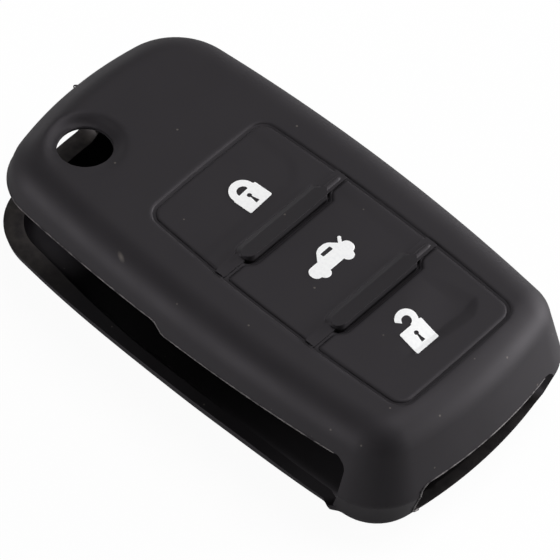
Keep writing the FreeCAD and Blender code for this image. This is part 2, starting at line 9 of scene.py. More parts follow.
# %% Load the frame
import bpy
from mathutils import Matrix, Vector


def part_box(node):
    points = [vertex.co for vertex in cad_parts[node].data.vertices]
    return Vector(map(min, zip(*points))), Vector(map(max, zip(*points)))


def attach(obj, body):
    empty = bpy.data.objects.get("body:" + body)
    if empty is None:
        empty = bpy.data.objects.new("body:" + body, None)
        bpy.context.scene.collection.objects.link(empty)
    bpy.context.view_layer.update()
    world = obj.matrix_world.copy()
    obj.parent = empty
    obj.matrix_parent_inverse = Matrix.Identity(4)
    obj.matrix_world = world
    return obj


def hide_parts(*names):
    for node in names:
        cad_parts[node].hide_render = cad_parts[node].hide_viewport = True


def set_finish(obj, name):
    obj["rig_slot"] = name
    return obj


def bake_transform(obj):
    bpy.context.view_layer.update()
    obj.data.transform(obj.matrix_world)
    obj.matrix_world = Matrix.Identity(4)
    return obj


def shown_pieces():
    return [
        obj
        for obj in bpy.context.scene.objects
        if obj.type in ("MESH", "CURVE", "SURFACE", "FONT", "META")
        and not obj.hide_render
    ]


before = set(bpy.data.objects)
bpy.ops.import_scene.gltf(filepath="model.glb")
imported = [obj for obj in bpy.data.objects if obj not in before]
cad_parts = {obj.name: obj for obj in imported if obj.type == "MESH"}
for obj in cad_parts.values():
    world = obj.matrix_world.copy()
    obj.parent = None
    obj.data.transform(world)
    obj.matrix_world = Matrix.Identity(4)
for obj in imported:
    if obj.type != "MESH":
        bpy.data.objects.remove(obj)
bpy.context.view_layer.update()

# %% Modules and units
import math

import bpy
import numpy as np
from mathutils import Matrix, Vector

MM = 0.001

# %% [markdown]
# Rounded solids from distances
#
# Rubber has few sharp edges: most rims and corners are rolled over. Bevels on a box model break
# down where many roundings meet, so each piece here is a distance field, a formula that is negative
# inside the piece and positive outside. Two solids overlap where the larger of their two distances
# is negative, and one formula rounds the edge between them.

# %% Rounded overlap
def rounded_overlap(first, second, radius, lean=0.0):
    """Distance to what two solids share, with the edge between them rolled to a radius.

    lean is the cosine of the angle between the two faces' normals, 0 where they meet square.
    """
    a = first + radius
    b = second + radius
    edge = np.sqrt(np.maximum(a * a + b * b - 2 * lean * a * b, 0) / (1 - lean * lean))
    on_edge = (a > lean * b) & (b > lean * a)
    return np.where(on_edge, edge, np.maximum(a, b)) - radius


square_corner = rounded_overlap(0.0, 0.0, 1 * MM)
print("a 1 mm rounding takes", round(float(square_corner) / MM, 3), "mm off a square corner")

# %% Soft step
def climb(value, start, end):
    """0 up to start, 1 from end on, and an S curve between. start may be the larger of the two."""
    share = np.clip((value - start) / (end - start), 0, 1)
    return share * share * (3 - 2 * share)


print("a quarter of the way along, a soft step has climbed", round(float(climb(1, 0, 4)), 2))

# %% [markdown]
# The barrel outline
#
# Seen from above, both the sleeve and the panel of pads are barrels: the sides and the ends bow
# out on large radii and run into round corners. A traced curve would need dozens of points.
# Circles give the bows and the corners, so the outline needs only a handful of real sizes.

# %% Barrel sizes
SLEEVE = {
    "middle": 0.0,
    "shift": 0.0,
    "length": 73.0 * MM,
    "width": 40.7 * MM,
    "side_radius": 255.0 * MM,
    "end_radii": (52.0 * MM, 64.0 * MM),
    "low_corners": (9.2 * MM, 8.0 * MM),
    "high_corners": (11.5 * MM, 7.0 * MM),
}
PANEL = {
    "middle": 8.6 * MM,
    "shift": 0.45 * MM,
    "length": 42.8 * MM,
    "width": 22.4 * MM,
    "side_radius": 290.0 * MM,
    "end_radii": (300.0 * MM, 300.0 * MM),
    "low_corners": (2.2 * MM, 2.2 * MM),
    "high_corners": (2.2 * MM, 2.2 * MM),
}
print("the panel takes up", round(PANEL["length"] / SLEEVE["length"], 2), "of the sleeve's length")

# %% Barrel
def barrel_end(along, across, form, end_radius, corner):
    """Distance to two bowed sides and the bowed end between them, with fillets of a corner radius.

    A fillet is a circle about the point where the bows cross once both are drawn in by its radius.
    """
    bow = form["side_radius"] - form["width"] / 2
    reach = form["length"] / 2 - end_radius
    side = np.hypot(along, across + bow) - form["side_radius"]
    end = np.hypot(along - reach, across) - end_radius
    side_in, end_in = form["side_radius"] - corner, end_radius - corner
    apart = math.hypot(reach, bow)
    foot = (side_in**2 - end_in**2 + apart**2) / (2 * apart)
    rise = math.sqrt(side_in**2 - foot**2)
    fillet_x = (foot * reach + rise * bow) / apart
    fillet_y = (foot * bow - rise * reach) / apart - bow
    out_x, out_y = along - fillet_x, across - fillet_y
    past_end = (fillet_x - reach) * out_y - fillet_y * out_x > 0
    past_side = (fillet_y + bow) * out_x - fillet_x * out_y > 0
    return np.where(past_end & past_side, np.hypot(out_x, out_y) - corner, np.maximum(side, end))


def barrel(x, y, form):
    """Distance in plan to a barrel. Its low half is on the -Y side, its high half on the +Y side."""
    along = x - form["middle"]
    across = y - form["shift"]
    halves = []
    for corners, way in ((form["low_corners"], -1), (form["high_corners"], 1)):
        ends = [
            barrel_end(end * along, way * across, form, radius, corner)
            for end, radius, corner in zip((-1, 1), form["end_radii"], corners)
        ]
        halves.append(np.maximum(*ends))
    return np.where(across < 0, *halves)


half_length, half_width = SLEEVE["length"] / 2, SLEEVE["width"] / 2
corner_cut = barrel(half_length, half_width, SLEEVE)
print("a round corner keeps", round(float(corner_cut) / MM, 1), "mm from the square one")

# %% [markdown]
# From distance to mesh
#
# To skin a field with quads, a grid is laid through it. Every grid line that the surface crosses
# gives a point and the normal there. Every cell that the surface passes through gets one vertex,
# where the planes through its points come closest to meeting, so a crisp edge stays crisp in a
# coarse grid. Blender's remesh modifier works alike, but it needs a mesh that exists already.

# %% Grid planes
def planes(low, high, step, fine=(), fine_step=None):
    """Places of the grid planes along one axis, closer together within each stretch in fine."""
    places = [low]
    while places[-1] < high:
        here = places[-1]
        close = any(start <= here < end for start, end in fine)
        places.append(here + (fine_step if close else step))
    return np.array(places)


def even_grid(low, high, step, step_up=None):
    """Planes along all three axes. step_up is the step along Z, if it differs."""
    steps = (step, step, step_up or step)
    return [planes(*limits) for limits in zip(low, high, steps)]


print("a 10 mm axis in 0.5 mm steps has", len(planes(0, 10 * MM, 0.5 * MM)), "planes")

# %% Where grid lines cross the surface
SLOPE_REACH = 0.01 * MM
HALVINGS = 12


def crossing(field, inside, outside):
    """The place between each pair of points, one inside and one outside, where a field is zero."""
    for _ in range(HALVINGS):
        middle = (inside + outside) / 2
        within = (field(*middle.T) < 0)[:, None]
        inside = np.where(within, middle, inside)
        outside = np.where(within, outside, middle)
    return (inside + outside) / 2


def slope(field, points):
    """Unit vectors along which a field rises fastest."""
    rise = []
    for axis in range(3):
        shift = np.zeros(3)
        shift[axis] = SLOPE_REACH
        rise.append(field(*(points + shift).T) - field(*(points - shift).T))
    rise = np.stack(rise, axis=1)
    return rise / np.linalg.norm(rise, axis=1)[:, None]


def ball(x, y, z):
    """A ball of radius 1, to try the helpers on."""
    return np.sqrt(x * x + y * y + z * z) - 1


ball_side = crossing(ball, np.array([[0.0, 0, 0]]), np.array([[2.0, 0, 0]]))
print("a ball of radius 1 ends at", round(float(ball_side[0, 0]), 3))

# %% Quads along a field
def quads_around(field, axes):
    """For each crossed grid line, the cells around it and its ends inside and outside the field."""
    lattice = np.stack(np.meshgrid(*axes, indexing="ij"), axis=-1)
    within = field(*np.moveaxis(lattice, -1, 0)) < 0
    cells = [len(axis) - 1 for axis in axes]
    number = np.arange(np.prod(cells)).reshape(cells)
    rings, inside, outside = [], [], []
    for axis in range(3):
        across, up = (axis + 1) % 3, (axis + 2) % 3
        near = np.take(within, range(cells[axis]), axis)
        far = np.take(within, range(1, cells[axis] + 1), axis)
        spots = np.argwhere(near != far)
        leaves = near[tuple(spots.T)][:, None]
        ring = []
        for i, j in ((1, 1), (0, 1), (0, 0), (1, 0)):
            cell = spots.copy()
            cell[:, across] -= i
            cell[:, up] -= j
            ring.append(number[tuple(cell.T)])
        rings.append(np.where(leaves, np.stack(ring, 1), np.stack(ring[::-1], 1)))
        start = lattice[tuple(spots.T)]
        spots[:, axis] += 1
        end = lattice[tuple(spots.T)]
        inside.append(np.where(leaves, start, end))
        outside.append(np.where(leaves, end, start))
    return np.concatenate(rings), np.concatenate(inside), np.concatenate(outside)


ball_grid = even_grid((-1.5, -1.5, -1.5), (1.5, 1.5, 1.5), 0.25)
print("the ball crosses", len(quads_around(ball, ball_grid)[0]), "lines of a coarse grid")

# %% [markdown]
# Vertices and normals
#
# On a round stretch a vertex takes the mean of the normals around it, which shades smoothly. On a
# crisp edge a mean would draw a false bright line, so there the vertex takes the normal of the
# face that looks up most. Auto smooth would do much the same, but the field's normals are exact.

# %% Points of the quads
PULL_TO_MIDDLE = 0.05
CRISP = 0.93


def summed(owner, values):
    """Sums of the rows of values that belong to each vertex."""
    return np.stack([np.bincount(owner, column) for column in values.T], axis=1)


def skin(field, axes):
    """Points, normals and quads along the zero level of a field inside a grid."""
    rings, inside, outside = quads_around(field, axes)
    spots = crossing(field, inside, outside)
    facing = slope(field, spots)
    used, quads = np.unique(rings, return_inverse=True)
    owner = quads.ravel()
    spots, facing = np.repeat(spots, 4, axis=0), np.repeat(facing, 4, axis=0)
    count = np.bincount(owner)
    middle = summed(owner, spots) / count[:, None]
    away = ((spots - middle[owner]) * facing).sum(axis=1)
    pairs = (facing[:, :, None] * facing[:, None, :]).reshape(-1, 9)
    spread = summed(owner, pairs).reshape(-1, 3, 3) + PULL_TO_MIDDLE * np.eye(3)
    move = np.linalg.solve(spread, summed(owner, away[:, None] * facing)[:, :, None])[:, :, 0]
    cell = np.stack(np.unravel_index(used, [len(axis) - 1 for axis in axes]), axis=1)
    low = np.stack([axis[place] for axis, place in zip(axes, cell.T)], axis=1)
    high = np.stack([axis[place + 1] for axis, place in zip(axes, cell.T)], axis=1)
    normals = summed(owner, facing) / count[:, None]
    crisp = np.linalg.norm(normals, axis=1)[:, None] < CRISP
    most_upward = np.lexsort((facing[:, 2], owner))[np.cumsum(count) - 1]
    normals = np.where(crisp, facing[most_upward], normals)
    return np.clip(middle + move, low, high), normals, quads.reshape(-1, 4)


ball_points = skin(ball, ball_grid)[0]
ball_error = np.abs(ball(*ball_points.T)).max()
print("the ball's points lie within", round(float(ball_error), 3), "of its radius")

# %% Make an object
def moulded(name, field, axes):
    """A mesh object along a field."""
    points, normals, quads = skin(field, axes)
    mesh = bpy.data.meshes.new(name)
    mesh.from_pydata(points.tolist(), [], quads.tolist())
    mesh.polygons.foreach_set("use_smooth", np.ones(len(quads), bool))
    mesh.normals_split_custom_set_from_vertices(normals.tolist())
    piece = bpy.data.objects.new(name, mesh)
    bpy.context.scene.collection.objects.link(piece)
    print(f"{name}: {len(points)} points, {len(quads)} quads")
    return piece


print("moulded pieces join the collection", bpy.context.scene.collection.name)

# %% [markdown]
# The sleeve
#
# The real sleeve is a thin cup of rubber in two drafted halves that meet at a parting line: both
# halves narrow away from it, so that the mould can open. A lofted mesh with a solidify modifier
# would give such a cup, but not its openings. Here one drafted form gives the outside, a smaller
# one the pocket, and the wall is what lies between. The wall below the mouth is held only at its
# ends, so it leans in along its middle, and a small nib stands out where the mouth ends.

# %% Free wall below the mouth
PARTING_HEIGHT = 7.8 * MM
SLACK, SLACK_DROP = 0.34 * MM, 3.0 * MM
SLACK_START, SLACK_FULL = -24.0 * MM, 0.0
SLACK_FADE, SLACK_END = 8.0 * MM, 28.0 * MM
NIB, NIB_X, NIB_RUN = 0.45 * MM, 26.3 * MM, 0.7 * MM


def drawn_in(x, y, z):
    """How far the free wall leans in along its middle, less the nib at its end."""
    along = climb(x, SLACK_START, SLACK_FULL) * climb(x, SLACK_END, SLACK_FADE)
    nib = np.exp(-(((x - NIB_X) / NIB_RUN) ** 2))
    low = climb(z, PARTING_HEIGHT, PARTING_HEIGHT - SLACK_DROP)
    return (SLACK * along - NIB * nib) * low * (y < 0)


wall_middle = drawn_in(4 * MM, -half_width, 4 * MM)
print("the free wall leans in by", round(float(wall_middle) / MM, 2), "mm in its middle")

# %% Heights from the frame
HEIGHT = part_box("lock_button")[1].z
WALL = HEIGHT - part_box("lock_button")[0].z
print("wall in mm:", round(WALL / MM, 2), "and height of the front face:", round(HEIGHT / MM, 2))

# %% Sleeve halves
PARTING_SOFTNESS = 0.07 * MM
DRAFT = math.radians(14)
OUTER_ROUND = 4.5 * MM


def drafted(x, y, z, inset, floor, ceiling, rounding):
    """Distance to a barrel that narrows up and down from the parting line."""
    away = np.hypot(z - PARTING_HEIGHT, PARTING_SOFTNESS) - PARTING_SOFTNESS
    side = (barrel(x, y, SLEEVE) + away * math.tan(DRAFT)) * math.cos(DRAFT) + inset
    side = side + drawn_in(x, y, z)
    lean = math.sin(DRAFT)
    topped = rounded_overlap(side, z - ceiling, rounding, lean)
    return rounded_overlap(topped, floor - z, rounding, lean)


def outer_form(x, y, z):
    """Distance to the sleeve's outer form, before anything is taken away."""
    return drafted(x, y, z, 0, 0, HEIGHT, OUTER_ROUND)


narrowing = (HEIGHT - PARTING_HEIGHT) * math.tan(DRAFT)
print("each side narrows by", round(narrowing / MM, 1), "mm up to the front face")

# %% [markdown]
# The mouth for the blade
#
# The blade folds out through a long mouth in one side, which turns the corner at the blade end.
# Its upper edge, the lip, climbs slowly, drops at a small notch and climbs again. Its lower edge
# is a free rim of soft rubber, which crowns a little and then sags. A boolean cutter could take
# the mouth away, but it would need a mesh of its own. Here both edges are formulas of x.

# %% Lip and rim
MOUTH_END, MOUTH_CORNER = 28.0 * MM, 2.0 * MM
LIP_START, LIP_BEFORE_NOTCH = 13.4 * MM, 14.1 * MM
LIP_AFTER_NOTCH, LIP_END = 13.05 * MM, 13.6 * MM
NOTCH_START, NOTCH_END = -3.1 * MM, -1.1 * MM
BLADE_END_START = SLEEVE["low_corners"][0] - half_length
RIM_HEIGHT, RIM_CROWN, RIM_SAG = 4.4 * MM, 0.35 * MM, 0.9 * MM
CROWN_START, CROWN_FULL = -22.0 * MM, 4.0 * MM
SAG_START, SAG_FULL = 12.0 * MM, 27.0 * MM


def lip_height(x):
    rise = np.clip((x - BLADE_END_START) / (NOTCH_START - BLADE_END_START), 0, 1)
    before = LIP_START + (LIP_BEFORE_NOTCH - LIP_START) * rise
    rise = np.clip((x - NOTCH_END) / (MOUTH_END - MOUTH_CORNER - NOTCH_END), 0, 1)
    after = LIP_AFTER_NOTCH + (LIP_END - LIP_AFTER_NOTCH) * rise
    return before + (after - before) * climb(x, NOTCH_START, NOTCH_END)


def rim_height(x):
    crown = RIM_CROWN * climb(x, CROWN_START, CROWN_FULL)
    return RIM_HEIGHT + crown - RIM_SAG * climb(x, SAG_START, SAG_FULL)


print("lip beside the notch in mm:", np.round(lip_height(np.array([-4, -1]) * MM) / MM, 2))

# %% Mouth
MOUTH_SLANT, SLANT_DROP = 1.0 * MM, 3.5 * MM
MOUTH_WRAP = 3.0 * MM


def mouth(x, y, z):
    above = z - lip_height(x)
    below = rim_height(x) - z
    slant = MOUTH_SLANT * np.clip((PARTING_HEIGHT - z) / SLANT_DROP, 0, 1)
    along_side = rounded_overlap(x - MOUTH_END + slant, above, MOUTH_CORNER)
    along_side = np.maximum(along_side, y + half_width / 2)
    past_corner = rounded_overlap(y - MOUTH_WRAP, above, MOUTH_CORNER)
    past_corner = rounded_overlap(past_corner, below, MOUTH_CORNER)
    past_corner = np.maximum(past_corner, x - BLADE_END_START)
    return np.maximum(np.minimum(along_side, past_corner), below)


print("length of the mouth in mm:", round((MOUTH_END + half_length) / MM, 1))

# %% [markdown]
# Ring slot and release hole
#
# The slot at the other end lets the key ring through. Its lower edge is thin and sharp, and falls a
# little towards the pocket. The round hole over the release button sits in a shallow dent, deep on
# one side and nothing on the other. A sculpt brush could press it in. As a formula it is simply
# added to the height at which the outer form is measured.

# %% Ring slot
SLOT_LEFT, SLOT_RIGHT = -11.9 * MM, 13.2 * MM
SLOT_LOW, SLOT_HIGH = 2.45 * MM, 9.25 * MM
SLOT_CORNER = 2.0 * MM
SLOT_EDGE, SLOT_FALL = 0.15 * MM, 0.12


def ring_slot(x, y, z):
    depth = np.clip(-outer_form(x, y, SLOT_LOW) - SLOT_EDGE, 0, WALL)
    across = np.abs(y - (SLOT_LEFT + SLOT_RIGHT) / 2) - (SLOT_RIGHT - SLOT_LEFT) / 2
    upright = np.maximum(z - SLOT_HIGH, SLOT_LOW - SLOT_FALL * depth - z)
    return np.maximum(rounded_overlap(across, upright, SLOT_CORNER), half_length / 2 - x)


print("height of the slot in mm:", round((SLOT_HIGH - SLOT_LOW) / MM, 2))

# %% Release hole
HOLE_X, HOLE_Y, HOLE_RADIUS = -25.6 * MM, -7.6 * MM, 3.6 * MM
DENT_START, DENT_END, DENT_DEPTH = 3.7 * MM, 5.4 * MM, 0.9 * MM
DENT_WAY = (-0.65, 0.76)


def from_hole(x, y):
    return np.hypot(x - HOLE_X, y - HOLE_Y)


def dent(x, y, z):
    """Depth of the dent round the hole, in the front half of the sleeve only."""
    away = from_hole(x, y)
    far_side = (x - HOLE_X) * DENT_WAY[0] + (y - HOLE_Y) * DENT_WAY[1]
    far_side = np.clip(far_side / np.maximum(away, MM), -1, 1)
    ring = climb(away, DENT_END, DENT_START) * (z > HEIGHT / 2)
    return DENT_DEPTH * ring * (0.5 + 0.5 * far_side)


print("wall left under the dent in mm:", round((WALL - DENT_DEPTH) / MM, 2))

# %% [markdown]
# Pocket and wall
#
# The pocket follows the outside at the wall's thickness, but the real rim at the blade end is
# thicker, so the pocket draws in there. A solidify modifier can't do that, and a formula can. All
# openings are then taken away. Only the pads' opening has a rolled edge, so only it is rounded.

# %% Sleeve
POCKET_ROUND = 2.0 * MM
RIM_EXTRA = 1.0 * MM
THIN_RIM_X, THICK_RIM_X = -4.0 * MM, -28.0 * MM
THIN_RIM_HEIGHT, THICK_RIM_HEIGHT = 6.4 * MM, 4.8 * MM
OPENING_ROUND = 0.42 * MM


def pocket(x, y, z):
    thick_rim = climb(x, THIN_RIM_X, THICK_RIM_X) * climb(z, THIN_RIM_HEIGHT, THICK_RIM_HEIGHT)
    return drafted(x, y, z, WALL + RIM_EXTRA * thick_rim, WALL, HEIGHT - WALL, POCKET_ROUND)


def sleeve(x, y, z):
    wall = outer_form(x, y, z + dent(x, y, z))
    back_half = HEIGHT / 2 - z
    hole = np.maximum(from_hole(x, y) - HOLE_RADIUS, back_half)
    for taken in (pocket(x, y, z), mouth(x, y, z), ring_slot(x, y, z), hole):
        wall = np.maximum(wall, -taken)
    return rounded_overlap(wall, -np.maximum(barrel(x, y, PANEL), back_half), OPENING_ROUND)


back_wall = sleeve(0.0, 0.0, WALL / 2)
print("the middle of the back wall lies", round(float(-back_wall) / MM, 2), "mm deep in rubber")

# %% [markdown]
# The sleeve's grid
#
# An even grid fine enough for the grooves would make far too many quads. The planes are close
# together only near edges that show: round the panel, at the mouth's end, along the slot, the rim
# and the lip. One plane just under the slot's lower edge keeps that thin edge whole.

# %% Sleeve mesh
MARGIN = 1.0 * MM
SLEEVE_STEP, EDGE_STEP = 0.55 * MM, 0.2 * MM
GROOVE_OUT, GROOVE_IN, END_REACH = 0.6 * MM, 1.4 * MM, 0.7 * MM
AT_MOUTH_END, AT_SLOT_EDGE = (26.6 * MM, 28.6 * MM), (33.4 * MM, 35.6 * MM)
AT_RIM, AT_SLOT_TOP = (1.8 * MM, 5.2 * MM), (8.8 * MM, 9.8 * MM)
AT_LIP = (12.7 * MM, 14.5 * MM)
JUST_UNDER = 0.01 * MM

panel_ends = [PANEL["middle"] + way * PANEL["length"] / 2 for way in (-1, 1)]
panel_low, panel_high = (PANEL["shift"] + way * PANEL["width"] / 2 for way in (-1, 1))
edges_x = [(end - END_REACH, end + END_REACH) for end in panel_ends]
edges_x += [AT_MOUTH_END, AT_SLOT_EDGE]
edges_y = [(panel_low - GROOVE_OUT, panel_low + GROOVE_IN)]
edges_y += [(panel_high - GROOVE_IN, panel_high + GROOVE_OUT)]
edges_z = [AT_RIM, AT_SLOT_TOP, AT_LIP, (HEIGHT - END_REACH, HEIGHT + EDGE_STEP)]
planes_z = planes(-MARGIN, HEIGHT + MARGIN, SLEEVE_STEP, edges_z, EDGE_STEP)
sleeve_grid = [
    planes(-half_length - MARGIN, half_length + MARGIN, SLEEVE_STEP, edges_x, EDGE_STEP),
    planes(-half_width - MARGIN, half_width + MARGIN, SLEEVE_STEP, edges_y, EDGE_STEP),
    np.sort(np.append(planes_z, SLOT_LOW - JUST_UNDER)),
]
sleeve_piece = moulded("sleeve", sleeve, sleeve_grid)
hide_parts("cover_shell")
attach(sleeve_piece, "cover")
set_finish(sleeve_piece, "silicone")
print("planes of the grid:", [len(axis) for axis in sleeve_grid])

# %% [markdown]
# Moulding flash
#
# Where the parts of a mould close on an edge, a hair of rubber squeezes out. Along the lip and the
# slot it catches a fine bright line, which its paler tone paints in as a highlight, and a nub of
# it is left at the blade end. In the sleeve's mesh it would need a far finer grid. A bevelled curve
# is the plain way to lay a hair, and rays from inside the sleeve find where the edge lies. The
# bevel is 1, so point radii are real radii.

# %% Flash
FLASH_RADIUS = 0.09 * MM
flash_hairs = []


def flash(name, places, thickest=1.0):
    """A hair of rubber through a row of places, that swells towards its last one."""
    line = bpy.data.curves.new(name, "CURVE")
    line.dimensions = "3D"
    line.bevel_depth = 1
    line.bevel_resolution = 2
    spline = line.splines.new("POLY")
    spline.points.add(len(places) - 1)
    swell = np.linspace(0, 1, len(places)) ** 3 * (thickest - 1) + 1
    for point, place, radius in zip(spline.points, places, swell):
        point.co = (*place, 1)
        point.radius = radius * FLASH_RADIUS
    hair = bpy.data.objects.new(name, line)
    bpy.context.scene.collection.objects.link(hair)
    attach(hair, "cover")
    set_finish(hair, "silicone")
    flash_hairs.append(hair)
    print(f"{name}: {len(places)} points")


print("a hair is", round(2 * FLASH_RADIUS / MM, 2), "mm thick")

# %% Flash along the lip
SIDE_COUNT, TURN_COUNT = 90, 59
RAY_START_Y, RAY_LENGTH = -8.0 * MM, 30.0 * MM
STRAIGHT_OUT, LAST_TURN = 1.5 * math.pi, 0.86 * math.pi


def at_lip(x, y, z):
    return outer_form(x, y, lip_height(x))


side_x = np.linspace(MOUTH_END - MOUTH_CORNER, BLADE_END_START, SIDE_COUNT)
turn = np.linspace(STRAIGHT_OUT, LAST_TURN, TURN_COUNT + 1)[1:]
ray_x = np.append(side_x, np.full(TURN_COUNT, BLADE_END_START))
ray_turn = np.append(np.full(SIDE_COUNT, STRAIGHT_OUT), turn)
ray_start = np.stack([ray_x, np.full_like(ray_x, RAY_START_Y), 0 * ray_x], axis=1)
ray_way = np.stack([np.cos(ray_turn), np.sin(ray_turn), 0 * ray_turn], axis=1)
lip_line = crossing(at_lip, ray_start, ray_start + RAY_LENGTH * ray_way)
lip_line = lip_line[lip_line[:, 1] < MOUTH_WRAP - MOUTH_CORNER]
lip_line[:, 2] = lip_height(lip_line[:, 0])
flash("lip_flash", lip_line)

# %% Flash along the slot
TOP_COUNT, BEND_COUNT = 60, 40
INSIDE_X, OUTSIDE_X = 20.0 * MM, 45.0 * MM

top_y = np.linspace(SLOT_RIGHT - SLOT_CORNER, SLOT_LEFT + SLOT_CORNER, TOP_COUNT)
bend = np.linspace(0.5 * math.pi, 1.4 * math.pi, BEND_COUNT)
bend_y = SLOT_LEFT + SLOT_CORNER + SLOT_CORNER * np.cos(bend)
bend_middle = np.where(bend < math.pi, SLOT_HIGH - SLOT_CORNER, SLOT_LOW + SLOT_CORNER)
bend_z = bend_middle + SLOT_CORNER * np.sin(bend)
edge_y = np.append(top_y, bend_y)
edge_z = np.append(np.full(TOP_COUNT, SLOT_HIGH), bend_z)
slot_edge = np.stack([0 * edge_y, edge_y, edge_z], axis=1)
slot_line = crossing(outer_form, slot_edge + (INSIDE_X, 0, 0), slot_edge + (OUTSIDE_X, 0, 0))
flash("slot_flash", slot_line, thickest=1.9)

# %% Nub at the blade end
NUB_COUNT = 6
NUB_HEIGHT, NUB_RISE, NUB_ROOT = 16.6 * MM, 0.24 * MM, 0.08 * MM
NUB_START_Y, NUB_END_Y = -0.85 * MM, -0.3 * MM
NUB_INSIDE_X, NUB_OUTSIDE_X = -25.0 * MM, -40.0 * MM

nub_y = np.linspace(NUB_START_Y, NUB_END_Y, NUB_COUNT)
nub_edge = np.stack([0 * nub_y, nub_y, np.full(NUB_COUNT, NUB_HEIGHT)], axis=1)
nub_line = crossing(outer_form, nub_edge + (NUB_INSIDE_X, 0, 0), nub_edge + (NUB_OUTSIDE_X, 0, 0))
arch = np.sin(np.linspace(0, math.pi, NUB_COUNT))
nub_line[:, 0] += NUB_ROOT - (NUB_ROOT + NUB_RISE) * arch
flash("end_nub", nub_line, thickest=1.8)

# %% [markdown]
# Raised bars
#
# Two bars stand between the pads, so that a thumb can find them without looking. Each climbs
# gently out of one pad's edge and drops off steeply to the next pad. It is round at one end, and
# at the other it has sloped shoulders that run into a thin rib with a flat skirt. Bevelled boxes
# could come close, but not the feathered side, half a millimetre wide, so the grid is finer here.

# %% Bar plan
BAR_PLACES = [0.567 * MM, 15.583 * MM]
BAR_MIDDLE = 0.65 * MM
BAR_HALF_WIDTH, BAR_HALF_LENGTH = 1.15 * MM, 7.45 * MM
BAR_SHOULDER = 0.8 * MM


def bar_plan(x, y, place):
    """Distance in plan to a bar: round at the -Y end, sloped shoulders at the +Y end."""
    aside = np.abs(x - place)
    up = y - BAR_MIDDLE
    foot = -BAR_HALF_LENGTH + BAR_HALF_WIDTH
    round_end = np.hypot(aside, np.minimum(up - foot, 0)) - BAR_HALF_WIDTH
    shoulder = (aside - BAR_HALF_WIDTH + BAR_SHOULDER + up - BAR_HALF_LENGTH) / math.sqrt(2)
    return np.maximum(np.maximum(round_end, up - BAR_HALF_LENGTH), shoulder)


print("bar in mm:", [round(2 * half / MM, 1) for half in (BAR_HALF_WIDTH, BAR_HALF_LENGTH)])

# %% Bar body
BAR_RISE, BAR_LOW_RISE, BAR_ROUND = 0.85 * MM, 0.35 * MM, 0.03 * MM
FEATHER, FEATHER_LIFT = 0.5 * MM, 0.03 * MM
GENTLE = math.tan(math.radians(62))


def bar_body(x, y, z, place):
    """Distance to a bar with one feathered side and one steep side."""
    plan = bar_plan(x, y, place)
    steep_share = np.clip((x - place) / BAR_HALF_WIDTH / 2 + 0.5, 0, 1)
    top = HEIGHT + BAR_LOW_RISE + (BAR_RISE - BAR_LOW_RISE) * steep_share
    gentle = climb(x - place, 0, -BAR_HALF_WIDTH)
    slope_side = plan + gentle * (GENTLE * (z - HEIGHT) - FEATHER)
    above = np.maximum(rounded_overlap(slope_side, z - top, BAR_ROUND), HEIGHT + FEATHER_LIFT - z)
    core = np.maximum(plan, z - HEIGHT - BAR_LOW_RISE / 2)
    return np.minimum(above, core)


print("a bar stands", round(BAR_RISE / MM, 2), "mm high on its steep side")

# %% Ribs
RIB_HALF_WIDTH, RIB_RISE, RIB_ROUND = 0.45 * MM, 0.3 * MM, 0.4 * MM
RIB_PAST, RIB_DROP = 0.3 * MM, 0.1 * MM
RIDGE_START, RIDGE_FULL = 5.0 * MM, 8.0 * MM
RIDGE_FADE, RIDGE_END = 10.3 * MM, 11.4 * MM
SKIRT, SKIRT_START, SKIRT_SHORT = 0.28 * MM, 5.0 * MM, 0.2 * MM
PANEL_HALF = PANEL["width"] / 2


def rib(x, y, z, place):
    """Distance to the thin rib that runs right across the panel and rises at its +Y end."""
    along = np.abs(y - PANEL["shift"])
    plan = np.maximum(np.abs(x - place) - RIB_HALF_WIDTH, along - PANEL_HALF - RIB_PAST)
    ridge = climb(y, RIDGE_START, RIDGE_FULL) * climb(y, RIDGE_END, RIDGE_FADE)
    rib_top = HEIGHT - RIB_DROP + (RIB_RISE + RIB_DROP) * ridge
    return rounded_overlap(plan, z - rib_top, RIB_ROUND)


def rib_skirt(x, y, z, place):
    """Distance to the thin flat skirt on both sides of a rib, beyond the bar's ends."""
    reach = np.where(y > 0, RIB_HALF_WIDTH + SKIRT, RIB_HALF_WIDTH)
    across = np.maximum(x - place - reach, place - x - RIB_HALF_WIDTH - 2 * SKIRT)
    thin = np.abs(z - HEIGHT - 2 * FEATHER_LIFT) - FEATHER_LIFT
    along = np.abs(y - PANEL["shift"]) - PANEL_HALF + SKIRT_SHORT
    return np.maximum(np.maximum(across, thin), np.maximum(along, SKIRT_START - np.abs(y)))


print("a rib stands", round(RIB_RISE / MM, 2), "mm high")

# %% Bar meshes
BAR_STEP, BAR_STEP_UP = 0.15 * MM, 0.05 * MM
BAR_REACH = 3.0 * MM
BAR_GRID_LOW, BAR_GRID_HIGH = -13.0 * MM, 14.0 * MM


def bar_field(place):
    def field(x, y, z):
        ribbed = np.minimum(rib(x, y, z, place), rib_skirt(x, y, z, place))
        bar = np.minimum(bar_body(x, y, z, place), ribbed)
        return np.maximum(bar, HEIGHT - WALL - z)
    return field


for order, place in zip(("first", "second"), BAR_PLACES):
    bar_low = Vector((place - BAR_REACH, BAR_GRID_LOW, HEIGHT - WALL - MARGIN))
    bar_high = Vector((place + BAR_REACH, BAR_GRID_HIGH, HEIGHT + BAR_RISE + MARGIN))
    bar_grid = even_grid(bar_low, bar_high, BAR_STEP, BAR_STEP_UP)
    bar_piece = moulded(f"{order}_bar", bar_field(place), bar_grid)
    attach(bar_piece, "cover")
    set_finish(bar_piece, "silicone")

# %% [markdown]
# Press pads
#
# Each pad fills its own cell of the opening, a hair's breadth from the edge, and has a shallow
# dish for the fingertip. A displacement map could make the dish, but then the printed symbol
# would float, so the dish is part of the pad's top height and the prints use the same one.

